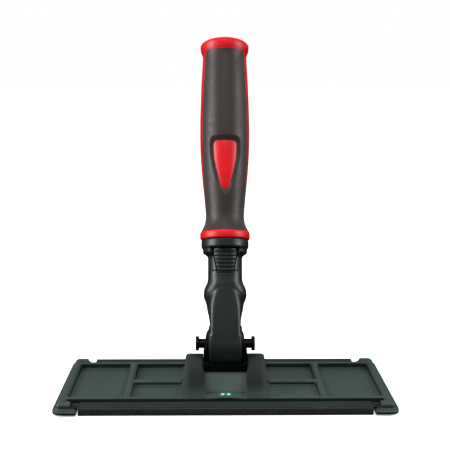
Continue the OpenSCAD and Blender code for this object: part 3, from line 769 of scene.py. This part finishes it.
def grip_columns():
    """Angle from the front for each row and column, with the panel edges followed exactly."""
    alpha = np.maximum(stripe_angle(ROWS), 0.02)[:, None]
    r = grip_r(ROWS)[:, None]
    fine = FINE_HALF / r
    edge = np.pi / 2 - alpha
    lip = np.array(EDGE_STEPS)[None, :] / r
    centre = np.linspace(0, 1, FINE_COLUMNS + 1)[None, :-1] * fine
    flank = fine + np.linspace(0, 1, FLANK_COLUMNS + 1)[None, :-1] * (edge - lip[:, -1:] - fine)
    rolled = edge - lip[:, ::-1]
    stripe = edge + np.linspace(0, 1, STRIPE_COLUMNS + 1)[None, 1:] * alpha
    front = np.concatenate([centre, flank, rolled, stripe], 1)
    back = np.pi - front[:, ::-1][:, 1:]
    right = np.concatenate([front, back], 1)
    left = -right[:, ::-1][:, 1:-1]
    return np.concatenate([right, left], 1), alpha


ANGLE, ALPHA = grip_columns()
U = np.repeat(ROWS[:, None], ANGLE.shape[1], 1)
# Distance in mm past a panel's side edge: positive on the panel, negative on the stripe
SIDE = (np.abs(np.abs(np.abs(ANGLE) - np.pi / 2)) - ALPHA) * grip_r(U)
TOP_LIFT = PANEL_TOP - CROWN_U


def quarter_round(distance, radius):
    """How far a rounded edge has dropped at a distance inside its rim."""
    inside = radius - np.clip(distance, 0, radius)
    return radius - np.sqrt(np.clip(radius ** 2 - inside ** 2, 0, None))


def lifted(u):
    """Raises the top rows of the panels into their rounded tops over the cap."""
    corner = quarter_round(SIDE, PANEL_CORNER)
    lift = np.where(SIDE > -1e-6, TOP_LIFT - corner * 0.8, 0.0)
    share = np.clip((u - PANEL_BEND_U) / (CROWN_U - PANEL_BEND_U), 0, 1)
    return u + lift * share ** 2


US = lifted(U)
# Distance across the front for the window, and well outside it on the back
FRONT_X = np.where(np.abs(ANGLE) < np.pi / 2, grip_r(U) * np.sin(ANGLE), 99.0)
WINDOW_D = signed_distance(WINDOW_LINE, FRONT_X, U)
BEZEL_D = signed_distance(BEZEL_LINE, FRONT_X, U)


def grid_points(radius, u, angle):
    """Points (x, y, u) at a radius and an angle from the front."""
    return np.stack([radius * np.sin(angle), -radius * np.cos(angle), u], 2)


def shell(outer, inner, keep):
    """A closed solid between two equal grids that wrap round, with the cells in keep."""
    rows, cols = outer.shape[:2]
    total = rows * cols
    points = np.concatenate([outer.reshape(-1, 3), inner.reshape(-1, 3)])
    faces = []
    # Edges that only one kept cell has so far: they get a wall between the two grids
    open_edges = {}
    for k, i in np.argwhere(keep):
        j = (i + 1) % cols
        a, b, c, d = (int(n) for n in (k * cols + i, k * cols + j,
                                       (k + 1) * cols + j, (k + 1) * cols + i))
        faces.append((a, b, c, d))
        faces.append((total + d, total + c, total + b, total + a))
        for start, end in ((a, b), (b, c), (c, d), (d, a)):
            if (end, start) in open_edges:
                del open_edges[(end, start)]
            else:
                open_edges[(start, end)] = True
    for a, b in open_edges:
        faces.append((b, a, total + a, total + b))
    used = sorted({i for f in faces for i in f})
    index = {old: new for new, old in enumerate(used)}
    return points[used], [tuple(index[i] for i in f) for f in faces]


def cells(values):
    """Mean of the four corners of each grid cell."""
    right = np.roll(values, -1, 1)
    return (values[:-1] + right[:-1] + values[1:] + right[1:]) / 4


# Black sleeve: two panels with rolled edges, hollowed round the window. It overlaps the
# edge of the window's inlay, and parts for the stripes just above their lowest point
SLEEVE_OVER, STRIPE_CLEAR, SLEEVE_MIN = 0.35, 0.2, 0.3
ROLL_SET_IN, TOP_ROLL_U, TOP_ROLL_R = 3, 0.8, 0.55
side_roll = quarter_round(SIDE, EDGE) * np.clip((U - STRIPE_LOW) / ROLL_SET_IN, 0, 1)
from_top = np.clip((US[-1:] - US) / TOP_ROLL_U, 0, 1)
top_roll = TOP_ROLL_R * (1 - np.sqrt(1 - (1 - from_top) ** 2))
# The hollow: from the bezel's rim down to the window's edge, deeper at its top
HOLLOW_LOW, HOLLOW_MORE, HOLLOW_FROM, HOLLOW_OVER = 1.25, 0.55, 122, 22
in_bezel = np.clip(-BEZEL_D, 0, None)
to_window = in_bezel / (in_bezel + np.clip(WINDOW_D, 1e-6, None))
hollow = HOLLOW_LOW + HOLLOW_MORE * np.clip((U - HOLLOW_FROM) / HOLLOW_OVER, 0, 1)
sleeve_r = grip_r(US) - np.maximum(side_roll, top_roll) - hollow * to_window ** 0.9
outer = grid_points(sleeve_r, US, ANGLE)
inner = grid_points(np.minimum(grip_r(US) - SLEEVE_T, sleeve_r - SLEEVE_MIN), US, ANGLE)
on_stripe = (cells(SIDE) < 0) & (cells(U) > STRIPE_LOW + STRIPE_CLEAR)
points, faces = shell(outer, inner, (cells(WINDOW_D) > -SLEEVE_OVER) & ~on_stripe)
sleeve = make_object("soft_sleeve", to_row_frame(points), faces)
sleeve.data.set_sharp_from_angle(angle=SHARP_ANGLE)
finish_piece(sleeve, HANDLE_BODY, "grip_sleeve", GRIP)

# Red core: the foot ring, the hidden tube, the side stripes and the domed window inlay
CORE_GAP, CORE_BORE_R = 0.05, 10.0
DOME_RISE, DOME_SPREAD = 0.35, 1.6
# Foot ring: (radius, height over its base)
RING_PROFILE = (
    (10.1, 0), (17.3, 0), (17.75, 0.15), (18.05, 0.5), (18.2, 1), (18.24, 2.8), (18.2, 4.4),
    (18.05, 5.1), (17.7, 5.6), (17.2, 5.9), (16.4, 5.98),
)
# Shares from 0 to 1 of the rise onto a stripe and onto the inlay, each with a steep border
raised = np.clip((-SIDE + 0.02) / 0.1, 0, 1) * (U > STRIPE_LOW)
inlay = np.clip((-WINDOW_D + 0.25) / 0.3, 0, 1)
dome = DOME_RISE * (1 - np.exp(-np.clip(-WINDOW_D, 0, None) / DOME_SPREAD))
tube_r = grip_r(U) - SLEEVE_T - CORE_GAP
inlay_r = tube_r + inlay * (SLEEVE_T - hollow) + dome
core_r = tube_r + raised * (SLEEVE_T - CORE_GAP)
core_r = np.where(inlay > 0, np.maximum(core_r, inlay_r), core_r)
ring_rows = np.array([[[r * math.sin(a), -r * math.cos(a), GRIP_U + u] for a in ANGLE[0]]
                      for r, u in RING_PROFILE])
outer = np.concatenate([ring_rows, grid_points(core_r, U, ANGLE)])
inner = outer.copy()
inner[..., :2] *= (CORE_BORE_R / np.hypot(inner[..., 0], inner[..., 1]))[..., None]
points, faces = shell(outer, inner, np.ones((len(outer) - 1, ANGLE.shape[1]), bool))
core = make_object("red_core", to_row_frame(points), faces)
core.data.set_sharp_from_angle(angle=SHARP_ANGLE)
finish_piece(core, HANDLE_BODY, "grip_core", RED)

# End cap: a plug, a flared side and a flattened dome, as (radius, u)
PLUG_R, PLUG_LOW, PLUG_TOP = 10.7, 205.2, 212.9
DOME_R, DOME_U, DOME_H, DOME_STEPS = 18.2, 221.2, 5.3, 16
cap_profile = [
    (AXIS_R, PLUG_LOW), (PLUG_R, PLUG_LOW), (PLUG_R, PLUG_TOP), (16.2, PLUG_TOP),
    (CROWN_R, CROWN_U), (16.5, 214), (16.7, 215), (17.0, 215.9), (17.4, 216.8), (17.75, 217.8),
    (18.0, 219), (18.15, 220.2),
]
for k in range(DOME_STEPS + 1):
    a = math.pi / 2 * k / DOME_STEPS
    cap_profile.append((max(AXIS_R, DOME_R * math.cos(a) ** 0.75),
                        DOME_U + DOME_H * math.sin(a) ** 0.95))
points, faces = revolve(cap_profile, sides=160)
cap = make_object("domed_cap", to_row_frame(points), faces)
cap.data.set_sharp_from_angle(angle=math.radians(50))
finish_piece(cap, HANDLE_BODY, "end_cap", RED)

# ---------------------------------------------------------------- carried-over CAD nodes

for node, material in (
    ("badge", BADGE), ("badge_mark", MARK), ("yoke_screws", ZINC), ("friction_washers", WASHER),
    ("arm_bush", ZINC), ("lever_pin", BLACK_STEEL),
):
    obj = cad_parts[node]
    obj.data.materials.clear()
    obj.data.materials.append(material)

# ---------------------------------------------------------------- studio and camera


def area_light(name, place, target, size, watts):
    """A soft box at place, in metres, that faces target."""
    data = bpy.data.lights.new(name, "AREA")
    data.shape = "RECTANGLE"
    data.size, data.size_y = size
    data.energy = watts
    obj = bpy.data.objects.new(name, data)
    bpy.context.scene.collection.objects.link(obj)
    obj.location = place
    obj.rotation_euler = (Vector(target) - Vector(place)).to_track_quat("-Z", "Y").to_euler()


GRIP_MIDDLE, PLATE_MIDDLE = (0, 0.03, 0.16), (0, 0, 0.05)
area_light("key_left", (-1.05, -0.33, 0.45), GRIP_MIDDLE, size=(0.5, 0.8), watts=13)
area_light("front_top", (0, -0.75, 1.15), PLATE_MIDDLE, size=(0.6, 0.4), watts=2)
area_light("fill_right", (1.05, -0.30, 0.45), GRIP_MIDDLE, size=(0.45, 0.8), watts=8)

# The overhead sun lights upward faces but shows in no reflection
sun_data = bpy.data.lights.new("overhead", "SUN")
sun_data.energy = 2.5
sun_data.angle = math.radians(45)
sun = bpy.data.objects.new("overhead", sun_data)
bpy.context.scene.collection.objects.link(sun)
sun.rotation_euler = (math.radians(8), 0, 0)
sun.visible_glossy = False

# The room: dim, darker below and behind the camera, and plain white to the camera itself
world = bpy.data.worlds.new("studio")
bpy.context.scene.world = world
world.use_nodes = True
tree = world.node_tree
background = tree.nodes["Background"]
direction = tree.nodes.new("ShaderNodeTexCoord")
split = tree.nodes.new("ShaderNodeSeparateXYZ")
tree.links.new(direction.outputs["Generated"], split.inputs["Vector"])


def sky_ramp(axis, start, end, low, high):
    """Brightness of the room against one component of the direction."""
    ramp = tree.nodes.new("ShaderNodeMapRange")
    for key, value in (("From Min", start), ("From Max", end), ("To Min", low), ("To Max", high)):
        ramp.inputs[key].default_value = value
    tree.links.new(split.outputs[axis], ramp.inputs["Value"])
    return ramp.outputs["Result"]


WHITE = (1, 1, 1, 1)
glow = tree.nodes.new("ShaderNodeMath")
glow.operation = "MULTIPLY"
tree.links.new(sky_ramp("Y", -0.1, 0.7, 0.11, 0.22), glow.inputs[0])
tree.links.new(sky_ramp("Z", 0.0, 0.25, 0.02, 1.0), glow.inputs[1])
rays = tree.nodes.new("ShaderNodeLightPath")
mixer = tree.nodes.new("ShaderNodeMix")
mixer.data_type = "RGBA"
mixer.inputs[MIX_B].default_value = WHITE
tree.links.new(rays.outputs["Is Camera Ray"], mixer.inputs["Factor"])
tree.links.new(glow.outputs["Value"], mixer.inputs[MIX_A])
tree.links.new(mixer.outputs[MIX_RESULT], background.inputs["Color"])

FLOOR_HALF, FLOOR_Z = 9000, -0.2
floor = make_object("floor", [(x * FLOOR_HALF, y * FLOOR_HALF, FLOOR_Z)
                              for x, y in ((-1, -1), (1, -1), (1, 1), (-1, 1))],
                    [(0, 1, 2, 3)], smooth=False)
paper = Shader("floor_white")
cloud = paper.remap(paper.noise(per_mm=0.004), 0, 1)
paper.link(paper.mix(cloud, (0.93, 0.93, 0.93), (0.96, 0.96, 0.96)), paper.bsdf.inputs["Base Color"])
paper.set(Roughness=0.9, Specular_IOR_Level=0.1, Emission_Color=WHITE, Emission_Strength=0.45)
floor.data.materials.append(paper.material)
floor.visible_diffuse = False
floor.visible_glossy = False

CAMERA_PLACE = (-0.0092, -0.57229, 0.22991)
CAMERA_TURN, CAMERA_DOWN, CAMERA_ROLL = (math.radians(a) for a in (-0.883, 10.737, 0.16))
camera_data = bpy.data.cameras.new("camera")
camera_data.sensor_width = 36
camera_data.lens = 66.4
camera = bpy.data.objects.new("camera", camera_data)
bpy.context.scene.collection.objects.link(camera)
camera.matrix_world = (Matrix.Translation(CAMERA_PLACE)
                       @ Matrix.Rotation(CAMERA_TURN, 4, "Z")
                       @ Matrix.Rotation(math.pi / 2 - CAMERA_DOWN, 4, "X")
                       @ Matrix.Rotation(CAMERA_ROLL, 4, "Z"))
bpy.context.scene.camera = camera
bpy.context.scene.view_settings.view_transform = "Standard"
